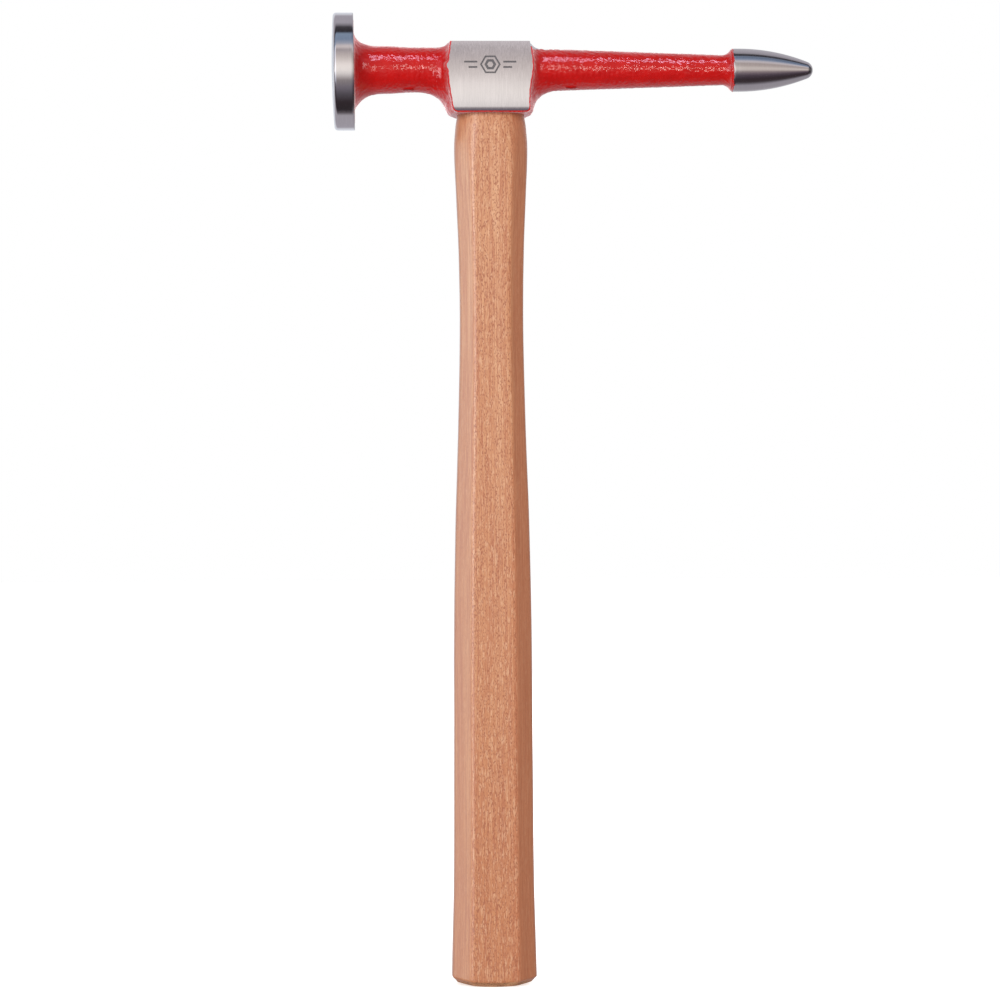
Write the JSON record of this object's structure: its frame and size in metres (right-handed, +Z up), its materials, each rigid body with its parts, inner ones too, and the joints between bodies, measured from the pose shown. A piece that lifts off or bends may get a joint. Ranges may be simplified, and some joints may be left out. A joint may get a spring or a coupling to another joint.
{
  "type": "panel beating hammer",
  "caption": "Panel beating pick hammer: forged steel head with a crowned round face and a bullet point, red dip enamel and a wedged octagonal hickory handle.",
  "frame": {"origin": "centre of the flat butt end of the handle", "axes": "+Z up the handle to the head, +X along the head towards the pick's point, +Y across the head"},
  "size_m": [0.1607, 0.039, 0.3239],
  "materials": {
    "forged_steel": "ground and brushed bare steel",
    "red_enamel": "thick glossy dip enamel with orange peel",
    "hickory": "sanded hickory with a thin clear finish",
    "wedge_wood": "cut flush end grain",
    "wedge_steel": "plain rolled steel"
  },
  "bodies": {
    "root": {"hammer_head": "forged_steel", "enamel_coat": "red_enamel", "handle": "hickory", "wood_wedge": "wedge_wood", "steel_wedge_front": "wedge_steel", "steel_wedge_rear": "wedge_steel"}
  },
  "joints": []
}
